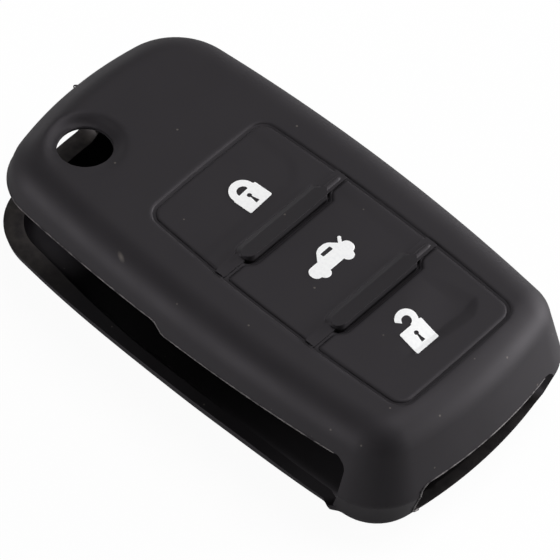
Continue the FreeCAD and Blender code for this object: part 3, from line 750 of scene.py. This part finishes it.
# %% Pad sizes
PAD_CLEARANCE, BAR_CHANNEL = 0.25 * MM, 0.55 * MM
PAD_ROUND, PAD_CORNER = 0.4 * MM, 0.5 * MM
FAR = 40.0


def dish(left=-FAR, right=FAR, low=-FAR, high=FAR, depth=0.0):
    """Sides and depth of a dish, given in millimetres. A side that is left out is beyond the pad."""
    return {"sides": [side * MM for side in (left, right, low, high)], "depth": depth * MM}


PADS = {
    "lock": {"below": None, "above": BAR_PLACES[0], "dish": dish(right=-3.0, high=8.5, depth=0.06)},
    "boot": {"below": BAR_PLACES[0], "above": BAR_PLACES[1], "dish": dish(high=9.5, depth=0.05)},
    "unlock": {
        "below": BAR_PLACES[1],
        "above": None,
        "dish": dish(left=20.5, right=26.2, low=-4.0, high=9.0, depth=0.32),
    },
}
print("deepest dish in mm:", max(round(pad["dish"]["depth"] / MM, 2) for pad in PADS.values()))

# %% Pad shape
DISH_SLOPE, DISH_CORNER, DISH_FADE = 1.8 * MM, 3.5 * MM, 4.0


def pad_plan(x, y, pad, gap=1):
    """Distance in plan to one pad, or with gap 0 to the whole cell around it."""
    plan = barrel(x, y, PANEL) + gap * PAD_CLEARANCE
    for place, way, clear in ((pad["below"], -1, BAR_CHANNEL), (pad["above"], 1, PAD_CLEARANCE)):
        if place is None:
            continue
        limit = way * (x - place) + RIB_HALF_WIDTH + gap * PAD_CLEARANCE
        plan = rounded_overlap(plan, limit, gap * PAD_CORNER)
        plan = rounded_overlap(plan, gap * clear - bar_plan(x, y, place), gap * PAD_CORNER)
    return plan


def pad_top(x, y, pad):
    """Height of a pad's top. Its dish is steep on two sides and fades out on the other two."""
    left, right, low, high = pad["dish"]["sides"]
    across = np.maximum((left - x) / DISH_FADE, x - right)
    upright = np.maximum((low - y) / DISH_FADE, y - high)
    edge = rounded_overlap(across, upright, DISH_CORNER)
    return HEIGHT - pad["dish"]["depth"] * climb(edge, DISH_SLOPE / 2, -DISH_SLOPE / 2)


in_dish = pad_top(24 * MM, 2 * MM, PADS["unlock"])
print("the unlock pad is", round(float(HEIGHT - in_dish) / MM, 2), "mm deep at its symbol")

# %% Pad meshes
PAD_STEP = 0.22 * MM


def pad_field(pad):
    def field(x, y, z):
        edge = rounded_overlap(pad_plan(x, y, pad), z - pad_top(x, y, pad), PAD_ROUND)
        return np.maximum(edge, HEIGHT - WALL - z)
    return field


for name, pad in PADS.items():
    node = f"{name}_button"
    low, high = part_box(node)
    around = Vector((MARGIN, MARGIN, MARGIN))
    pad_grid = even_grid(low - around, high + around, PAD_STEP)
    pad_piece = moulded(f"{name}_press_pad", pad_field(pad), pad_grid)
    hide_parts(node)
    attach(pad_piece, f"{name}_pad")
    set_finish(pad_piece, "silicone")

# %% [markdown]
# Webs
#
# On the real cover a thin web of rubber joins each pad to the sleeve and bends when the pad goes
# down. A cloth simulation could bend it, but it is hardly seen. Here it is a sloped ribbon in the
# groove: its outer edge lies in the sleeve's wall, its inner edge under the pad's edge, and a blend
# slopes it between them.

# %% Webs
WEB_HIGH, WEB_LOW = HEIGHT - 0.2 * MM, HEIGHT - 0.3 * MM
WEB_THICKNESS = 0.07 * MM
WEB_LAP, WEB_DIP = 0.25 * MM, 0.5 * MM
WEB_STEP, WEB_STEP_UP = 0.13 * MM, 0.03 * MM


def web_field(pad):
    def field(x, y, z):
        inner, outer = pad_plan(x, y, pad), pad_plan(x, y, pad, gap=0)
        share = (inner + WEB_LAP) / np.maximum(inner - outer + 2 * WEB_LAP, WEB_LAP)
        middle = WEB_LOW + (WEB_HIGH - WEB_LOW) * share
        if pad["below"] is not None:
            middle = middle - WEB_DIP * climb(bar_plan(x, y, pad["below"]), BAR_CHANNEL, 0)
        across = np.maximum(-WEB_LAP - inner, outer - WEB_LAP)
        return np.maximum(np.abs(z - middle) - WEB_THICKNESS / 2, across)
    return field


for name, pad in PADS.items():
    node = f"{name}_web"
    low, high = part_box(node)
    web_low = Vector((low.x - MARGIN, low.y - MARGIN, WEB_LOW - WEB_DIP - WEB_THICKNESS))
    web_high = Vector((high.x + MARGIN, high.y + MARGIN, WEB_HIGH + WEB_THICKNESS))
    web_grid = even_grid(web_low, web_high, WEB_STEP, WEB_STEP_UP)
    web_piece = moulded(f"{name}_web_strip", web_field(pad), web_grid)
    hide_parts(node)
    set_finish(web_piece, "silicone")
    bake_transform(web_piece)

# %% [markdown]
# Printed symbols
#
# The symbols are white ink, thin enough to follow the dish. Each is drawn upright in millimetres,
# u to the right and v up, from discs, strokes and boxes, as distances again, so round ends come for
# free. A plane with a picture on it would be less work, but its edge would blur.

# %% Symbol strokes
def disc(u, v, middle, radius):
    return np.hypot(u - middle[0], v - middle[1]) - radius


def slab(u, v, middle, size, corner):
    """A box with round corners."""
    across = np.abs(u - middle[0]) - size[0] / 2
    upright = np.abs(v - middle[1]) - size[1] / 2
    return rounded_overlap(across, upright, corner)


def stroke(u, v, start, end, width):
    """A straight line with round ends."""
    run = np.array(end) - np.array(start)
    share = ((u - start[0]) * run[0] + (v - start[1]) * run[1]) / (run @ run)
    share = np.clip(share, 0, 1)
    return np.hypot(u - start[0] - share * run[0], v - start[1] - share * run[1]) - width / 2


def keyhole(u, v):
    """A round eye over a slit that widens downwards."""
    eye = disc(u, v, (0, 0.55), 0.33)
    flare = np.abs(u) - 0.13 - (0.25 - v) * 0.17
    return np.minimum(eye, np.maximum(flare, np.maximum(v - 0.4, -0.85 - v)))


print("middle of the keyhole's eye is", round(float(-keyhole(0.0, 0.55)), 2), "mm from its edge")

# %% Three symbols
def closed_lock(u, v):
    body = slab(u, v, (0, 0), (4.1, 2.85), 0.22)
    bow = np.maximum(np.abs(disc(u, v, (-0.1, 1.5), 1.33)) - 0.5, 1.2 - v)
    return np.maximum(np.minimum(body, bow), -keyhole(u, v))


def open_boot(u, v):
    """A car from the side with its boot lid up, nose to the left."""
    hull = slab(u, v, (-0.07, -0.17), (7.35, 1.9), 0.85)
    wheels = np.minimum(disc(u, v, (-2.1, -0.97), 0.78), disc(u, v, (1.95, -1.07), 0.8))
    slant = (np.abs(u - 0.47) - 1.12 - (1.88 - v) * 0.9) * 0.74
    cabin = rounded_overlap(np.maximum(slant, -v), v - 2.2, 0.45)
    lid = stroke(u, v, (2.5, 0.8), (3.1, 1.5), 0.46)
    whole = np.minimum(np.minimum(hull, wheels), np.minimum(cabin, lid))
    return np.maximum(whole, -slab(u, v, (0.4, 1.13), (1.75, 0.58), 0.15))


def open_lock(u, v):
    body = slab(u, v, (0, 0), (3.9, 3.5), 0.2)
    across, upright = u - 0.19, v - 2.62
    ring = np.abs(np.hypot(across, upright) - 1.17) - 0.46
    opening = np.minimum(0.05 - across, -0.737 * across - 0.676 * upright - 0.516)
    hook = rounded_overlap(ring, opening, 0.15)
    return np.maximum(np.minimum(body, hook), -keyhole(u, v))


print("ink beside the keyhole is", round(float(-closed_lock(1.2, 0.0)), 2), "mm from an edge")

# %% Print films
PRINT_STEP = 0.1 * MM
INK_ABOVE, INK_BELOW = 0.05 * MM, 0.2 * MM
PRINTS = {
    "lock": {"symbol": closed_lock, "middle": (-4.95, 0.98), "turn": 93, "lean": 0},
    "boot": {"symbol": open_boot, "middle": (8.38, 0.8), "turn": 90, "lean": 0},
    "unlock": {"symbol": open_lock, "middle": (23.97, -0.3), "turn": 90, "lean": -0.155},
}


def ink_field(pad, drawing):
    """A film over a pad's top in the shape of a symbol, turned, and leaning if the print does."""
    turn = math.radians(drawing["turn"])
    cosine, sine = math.cos(turn), math.sin(turn)

    def field(x, y, z):
        along, aside = x / MM - drawing["middle"][0], y / MM - drawing["middle"][1]
        u, v = cosine * along + sine * aside, cosine * aside - sine * along
        drawn = drawing["symbol"](u + drawing["lean"] * v, v) * MM
        over = z - pad_top(x, y, pad)
        return np.maximum(drawn, np.maximum(over - INK_ABOVE, -INK_BELOW - over))
    return field


for name, drawing in PRINTS.items():
    node = f"{name}_print"
    low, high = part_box(node)
    print_low = Vector((low.x - MARGIN / 2, low.y - MARGIN / 2, HEIGHT - MARGIN))
    print_high = Vector((high.x + MARGIN / 2, high.y + MARGIN / 2, HEIGHT + MARGIN / 2))
    print_grid = even_grid(print_low, print_high, PRINT_STEP)
    print_piece = moulded(f"{name}_symbol", ink_field(PADS[name], drawing), print_grid)
    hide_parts(node)
    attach(print_piece, f"{name}_pad")
    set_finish(print_piece, "white_ink")

# %% [markdown]
# Silicone
#
# Black silicone is never quite black: it has a fine matte grain from the mould, and its tone and
# gloss vary where fingers have polished it. A scanned texture would need unwrapping. Here it all
# comes from noise in the object's own coordinates, so nothing stretches. A few helpers add one
# node each and hand back the socket with its result.

# %% Node helpers
def new_material(name):
    material = bpy.data.materials.new(name)
    material.use_nodes = True
    return material, material.node_tree


def fed(tree, kind, source):
    """A new node whose first input comes from another node."""
    node = tree.nodes.new(kind)
    tree.links.new(source, node.inputs[0])
    return node


def noise(tree, coordinates, scale, detail):
    texture = fed(tree, "ShaderNodeTexNoise", coordinates)
    texture.inputs["Scale"].default_value = scale
    texture.inputs["Detail"].default_value = detail
    return texture.outputs["Fac"]


def ramp(tree, value, stops):
    """Colours along a value. stops are two pairs of place and grey or colour."""
    blend = fed(tree, "ShaderNodeValToRGB", value)
    for element, (place, tone) in zip(blend.color_ramp.elements, stops):
        element.position = place
        element.color = (*tone, 1) if isinstance(tone, tuple) else (tone, tone, tone, 1)
    return blend.outputs["Color"]


def compute(tree, operation, first, second):
    """A sum, product or comparison of two values, each a socket or a plain number."""
    node = tree.nodes.new("ShaderNodeMath")
    node.operation = operation
    for socket, value in zip(node.inputs, (first, second)):
        if isinstance(value, (int, float)):
            socket.default_value = value
        else:
            tree.links.new(value, socket)
    return node.outputs["Value"]


def relief(tree, height, strength, distance):
    """Fine bumps from a texture, on the tree's own shader."""
    bump = tree.nodes.new("ShaderNodeBump")
    bump.inputs["Strength"].default_value = strength
    bump.inputs["Distance"].default_value = distance
    tree.links.new(height, bump.inputs["Height"])
    tree.links.new(bump.outputs["Normal"], tree.nodes["Principled BSDF"].inputs["Normal"])


print("node helpers: fed, noise, ramp, compute, relief")

# %% Rubber tone, gloss and grain
CLOUD_SCALE, GRAIN_SCALE = 180, 9000
DARK_RUBBER, LIGHT_RUBBER = (0.0104, 0.0093, 0.0106), (0.0129, 0.0116, 0.0131)

silicone, tree = new_material("black_silicone")
rubber_shader = tree.nodes["Principled BSDF"]
coordinates = tree.nodes.new("ShaderNodeTexCoord").outputs
in_piece = coordinates["Object"]
cloud = noise(tree, in_piece, CLOUD_SCALE, 3)
rubber_tone = ramp(tree, cloud, [(0.3, DARK_RUBBER), (0.7, LIGHT_RUBBER)])
tree.links.new(ramp(tree, cloud, [(0.3, 0.59), (0.7, 0.65)]), rubber_shader.inputs["Roughness"])
rubber_shader.inputs["IOR"].default_value = 1.38
rubber_shader.inputs["Specular Tint"].default_value = (0.98, 0.92, 1.0, 1)
relief(tree, noise(tree, in_piece, GRAIN_SCALE, 2), strength=0.12, distance=0.03 * MM)
print("rubber has", len(tree.nodes), "nodes")

# %% [markdown]
# Dust, scuffs and painted light
#
# Silicone is a little sticky, so it holds dust. Loose specks lie all over, and two pale scuffs
# mark the front face's edge. A warm, lighter film on the rim at the blade end and inside the slot
# is painted light: it lightens faces that the lamps hardly reach. Painted vertices could hold
# them, but the mesh is too coarse. Each is a mask from 0 to 1 instead, from textures and from the
# place on the piece, and the largest one wins.

# %% Specks
SPECK_SCALE, SPECK_SIZE, BARE_SHARE = 480, 0.07, 0.75

speck_cells = fed(tree, "ShaderNodeTexVoronoi", in_piece)
speck_cells.inputs["Scale"].default_value = SPECK_SCALE
cell_tone = fed(tree, "ShaderNodeSeparateColor", speck_cells.outputs["Color"])
near_speck = compute(tree, "LESS_THAN", speck_cells.outputs["Distance"], SPECK_SIZE)
dusty_cell = compute(tree, "GREATER_THAN", cell_tone.outputs["Red"], BARE_SHARE)
specks = compute(tree, "MULTIPLY", near_speck, dusty_cell)
print("specks lie about", round(1 / SPECK_SCALE / MM / math.sqrt(1 - BARE_SHARE), 1), "mm apart")

# %% Painted light on the blade end's rim
# Painted light: a warm, lighter film on the up-facing rim near the blade end stands in for lamp light
# that the front half keeps off it.
RIM_LIGHT_REACH, RIM_LIGHT_RUN = 1.0 * MM, 36.0 * MM

place_on = fed(tree, "ShaderNodeSeparateXYZ", in_piece).outputs
from_rim = compute(tree, "SUBTRACT", place_on["Z"], RIM_HEIGHT)
from_rim = compute(tree, "ABSOLUTE", from_rim, 0)
at_rim = compute(tree, "LESS_THAN", from_rim, RIM_LIGHT_REACH)
from_tip = compute(tree, "ADD", place_on["X"], RIM_LIGHT_RUN)
to_middle = compute(tree, "DIVIDE", from_tip, RIM_LIGHT_RUN)
near_tip = ramp(tree, to_middle, [(0.3, 0.9), (0.55, 0.0)])
rim_painted_light = compute(tree, "MULTIPLY", at_rim, near_tip)
print("rim dust lies within", round(RIM_LIGHT_REACH / MM, 1), "mm of the rim's height")

# %% Painted light in the slot
# Painted light: the same lighter film lies on the slot's floor, where the lamps hardly reach.
SLOT_LIGHT_X, SLOT_LIGHT_HEIGHT, SLOT_LIGHT_SHARE = 31.5 * MM, 3.0 * MM, 0.4
LIES_FLAT, LIGHT_MOTTLE_SCALE = 0.6, 700

at_ring_end = compute(tree, "GREATER_THAN", place_on["X"], SLOT_LIGHT_X)
below_slot = compute(tree, "LESS_THAN", place_on["Z"], SLOT_LIGHT_HEIGHT)
slot_floor = compute(tree, "MULTIPLY", at_ring_end, below_slot)
slot_painted_light = compute(tree, "MULTIPLY", slot_floor, SLOT_LIGHT_SHARE)
facing = fed(tree, "ShaderNodeSeparateXYZ", coordinates["Normal"]).outputs
lies_flat = compute(tree, "GREATER_THAN", facing["Z"], LIES_FLAT)
# The film is painted light on faces that look up, mottled by a noise.
film = compute(tree, "MULTIPLY", lies_flat, compute(tree, "MAXIMUM", rim_painted_light, slot_painted_light))
light_mottle = ramp(tree, noise(tree, in_piece, LIGHT_MOTTLE_SCALE, 4), [(0.3, 0.2), (0.7, 0.8)])
dust_and_painted_light = compute(tree, "MAXIMUM", specks, compute(tree, "MULTIPLY", film, light_mottle))
print("dust film lies on faces within", round(math.degrees(math.acos(LIES_FLAT))), "degrees of level")

# %% Scuffs
SCUFFS = [
    {"place": (-10.66, -16.6, 17.87), "turn": -24, "size": (0.95, 0.36, 0.6)},
    {"place": (-0.84, -16.94, 17.78), "turn": 0, "size": (0.16, 0.16, 0.16)},
]
for mark in SCUFFS:
    spot = fed(tree, "ShaderNodeMapping", in_piece)
    spot.vector_type = "TEXTURE"
    spot.inputs["Location"].default_value = [side * MM for side in mark["place"]]
    spot.inputs["Rotation"].default_value = (0, 0, math.radians(mark["turn"]))
    spot.inputs["Scale"].default_value = [side * MM for side in mark["size"]]
    reach = fed(tree, "ShaderNodeVectorMath", spot.outputs["Vector"])
    reach.operation = "LENGTH"
    scuff = ramp(tree, reach.outputs["Value"], [(0.2, 1.0), (1.0, 0.0)])
    dust_and_painted_light = compute(tree, "MAXIMUM", dust_and_painted_light, scuff)
print("scuffs:", len(SCUFFS))

# %% Dust and painted light over rubber
# One tone serves the real specks and scuffs and the painted light of the films.
DUST_AND_LIGHT_TONE = (0.080, 0.071, 0.064, 1)

dust_and_light_mix = tree.nodes.new("ShaderNodeMix")
dust_and_light_mix.data_type = "RGBA"
tree.links.new(dust_and_painted_light, dust_and_light_mix.inputs["Factor"])
tree.links.new(rubber_tone, dust_and_light_mix.inputs["A"])
dust_and_light_mix.inputs["B"].default_value = DUST_AND_LIGHT_TONE
tree.links.new(dust_and_light_mix.outputs["Result"], rubber_shader.inputs["Base Color"])
print("silicone has", len(tree.nodes), "nodes")

# %% [markdown]
# Finish of the flash
#
# The three hairs get a copy of the silicone with a paler, patchy tone. The pale tone is a painted
# highlight: it draws the fine bright line that the thin rolled edges catch from the lamps.

# %% Flash material
PATCH_SCALE = 900
# Painted highlight: the pale end of this ramp draws the bright line along the hairs.
DARK_FLASH, FLASH_HIGHLIGHT = (0.02, 0.018, 0.02), (0.16, 0.15, 0.15)

flash_highlight_rubber = silicone.copy()
flash_highlight_rubber.name = "flash_painted_highlight"
tree = flash_highlight_rubber.node_tree
patches = noise(tree, tree.nodes["Texture Coordinate"].outputs["Object"], PATCH_SCALE, 2)
flash_highlight_tone = ramp(tree, patches, [(0.35, DARK_FLASH), (0.6, FLASH_HIGHLIGHT)])
tree.links.new(flash_highlight_tone, tree.nodes["Principled BSDF"].inputs["Base Color"])
print("flash has", len(tree.nodes), "nodes")

# %% [markdown]
# White ink
#
# Printed ink on silicone is a dense white with a faint mottle where the rubber's grain shows
# through, and a little glossier than the rubber. A plain white would look like paper, so one noise
# drives the tone, the gloss and a fine relief together.

# %% Ink material
MOTTLE_SCALE = 2500
THIN_INK, FULL_INK = (0.88, 0.88, 0.89), (0.94, 0.94, 0.94)

white_ink, tree = new_material("white_ink")
ink_shader = tree.nodes["Principled BSDF"]
mottle = noise(tree, tree.nodes.new("ShaderNodeTexCoord").outputs["Object"], MOTTLE_SCALE, 4)
ink_tone = ramp(tree, mottle, [(0.3, THIN_INK), (0.6, FULL_INK)])
tree.links.new(ink_tone, ink_shader.inputs["Base Color"])
tree.links.new(ramp(tree, mottle, [(0.3, 0.5), (0.7, 0.38)]), ink_shader.inputs["Roughness"])
relief(tree, mottle, strength=0.15, distance=0.02 * MM)
print("ink has", len(tree.nodes), "nodes")

# %% [markdown]
# Every piece gets its finish
#
# Materials could be handed out piece by piece, but a forgotten piece would stay grey. The slot that
# each piece was given says what it is made of, so one loop is enough.

# %% Finishes
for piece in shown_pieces():
    finish = white_ink if piece.get("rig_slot") == "white_ink" else silicone
    if piece in flash_hairs:
        finish = flash_highlight_rubber
    piece.data.materials.clear()
    piece.data.materials.append(finish)

# %% [markdown]
# Floor and backdrop
#
# A product photo on white has a pale floor with only a breath of shadow. Brighter lamps would turn
# the floor white, but wash out the part too. Instead the floor is a plain grey that shows white to
# the camera's rays, with a share of its real shading kept for the shadow, and the world behind it
# is white for them as well. Reflections see a little of that white.

# %% White for the camera
MIRROR_SHARE = 0.1


def white_share(tree, camera_share):
    """How much white a ray sees: the camera's rays most, reflections a little."""
    rays = tree.nodes.new("ShaderNodeLightPath").outputs
    for_camera = compute(tree, "MULTIPLY", rays["Is Camera Ray"], camera_share)
    mirrored = compute(tree, "MAXIMUM", rays["Is Glossy Ray"], rays["Is Transmission Ray"])
    for_mirrors = compute(tree, "MULTIPLY", mirrored, MIRROR_SHARE)
    return compute(tree, "MAXIMUM", for_camera, for_mirrors)


print("reflections see", MIRROR_SHARE, "of the white")

# %% Floor
FLOOR_HALF = 4.0
FLOOR_TONE = 0.42
SHADOW_SHARE = 0.1

floor_mesh = bpy.data.meshes.new("floor")
floor_ways = ((-1, -1), (1, -1), (1, 1), (-1, 1))
floor_corners = [(x * FLOOR_HALF, y * FLOOR_HALF, 0) for x, y in floor_ways]
floor_mesh.from_pydata(floor_corners, [], [(0, 1, 2, 3)])
floor = bpy.data.objects.new("floor", floor_mesh)
bpy.context.scene.collection.objects.link(floor)

paper, tree = new_material("white_paper")
paper_shader = tree.nodes["Principled BSDF"]
paper_shader.inputs["Base Color"].default_value = (FLOOR_TONE, FLOOR_TONE, FLOOR_TONE, 1)
paper_shader.inputs["Roughness"].default_value = 0.9
paper_shader.inputs["Specular IOR Level"].default_value = 0.1
glow = tree.nodes.new("ShaderNodeEmission")
glow.inputs["Strength"].default_value = 1.06
lift = tree.nodes.new("ShaderNodeMixShader")
tree.links.new(white_share(tree, 1 - SHADOW_SHARE), lift.inputs["Fac"])
tree.links.new(paper_shader.outputs["BSDF"], lift.inputs[1])
tree.links.new(glow.outputs["Emission"], lift.inputs[2])
tree.links.new(lift.outputs["Shader"], tree.nodes["Material Output"].inputs["Surface"])
floor_mesh.materials.append(paper)
print("floor is", 2 * FLOOR_HALF, "m wide")

# %% Backdrop
ROOM_LIGHT = 0.08

world = bpy.data.worlds.new("studio")
world.use_nodes = True
tree = world.node_tree
backdrop = tree.nodes["Background"]
backdrop.inputs["Color"].default_value = (1, 1, 1, 1)
room_light = compute(tree, "MAXIMUM", white_share(tree, 1.0), ROOM_LIGHT)
tree.links.new(room_light, backdrop.inputs["Strength"])
bpy.context.scene.world = world
print("room light is", ROOM_LIGHT)

# %% [markdown]
# Soft boxes
#
# Black rubber shows mostly what it reflects. One big lamp overhead would leave it flat, so wide, low
# boxes stand round it: a strong one behind the ring end, weaker ones behind, to the left and in
# front, each for a soft highlight along the rounded edges. A box overhead lifts the front face.

# %% Soft boxes
def soft_box(name, place, size, power):
    """A rectangular area light that faces the part."""
    lamp = bpy.data.lights.new(name, "AREA")
    lamp.shape = "RECTANGLE"
    lamp.size, lamp.size_y = size
    lamp.energy = power
    box = bpy.data.objects.new(name, lamp)
    box.location = place
    box.rotation_euler = (-Vector(place)).to_track_quat("-Z", "Y").to_euler()
    bpy.context.scene.collection.objects.link(box)
    print(f"{name}: {power} W, {Vector(place).length:.2f} m away")


soft_box("right_box", (0.555, 0.70, 0.125), (0.45, 0.18), 11)
soft_box("back_box", (0.115, 0.885, 0.125), (0.45, 0.18), 2.9)
soft_box("left_box", (-0.83, 0.335, 0.11), (0.45, 0.14), 1.4)
soft_box("front_left_box", (-0.40, -0.797, 0.125), (0.5, 0.18), 5.2)
soft_box("top_box", (0.105, 0.29, 0.845), (0.45, 0.45), 5.2)

# %% [markdown]
# Camera
#
# The photo looks down on the mouth side and the ring end, with the camera rolled a little. A camera
# can be aimed with a constraint, but then the roll is hard to set, so its pose is three turns in a
# row. A long lens at this distance gives the photo's slight perspective.

# %% Camera
AZIMUTH, ELEVATION, ROLL = (math.radians(turn) for turn in (40.2748, 53.1494, 3.3434))
CAMERA_DISTANCE = 0.6408
AIM_HEIGHT = 8.2125 * MM
PIXELS_PER_METRE = 7994.1
FRAME_PIXELS = 560
SHIFT_RIGHT, SHIFT_UP = 6.2725, -4.5684
SENSOR = 36.0

lens = bpy.data.cameras.new("camera")
lens.sensor_width = SENSOR
lens.lens = SENSOR * PIXELS_PER_METRE * CAMERA_DISTANCE / FRAME_PIXELS
lens.shift_x = SHIFT_RIGHT / FRAME_PIXELS
lens.shift_y = SHIFT_UP / FRAME_PIXELS
camera = bpy.data.objects.new("camera", lens)
tilt = Matrix.Rotation(math.pi / 2 - ELEVATION, 4, "X")
pose = Matrix.Rotation(AZIMUTH, 4, "Z") @ tilt @ Matrix.Rotation(ROLL, 4, "Z")
pose.translation = pose @ Vector((0, 0, CAMERA_DISTANCE)) + Vector((0, 0, AIM_HEIGHT))
camera.matrix_world = pose
bpy.context.scene.collection.objects.link(camera)
bpy.context.scene.camera = camera
bpy.context.scene.view_settings.view_transform = "Standard"
print("lens in mm:", round(lens.lens, 1))
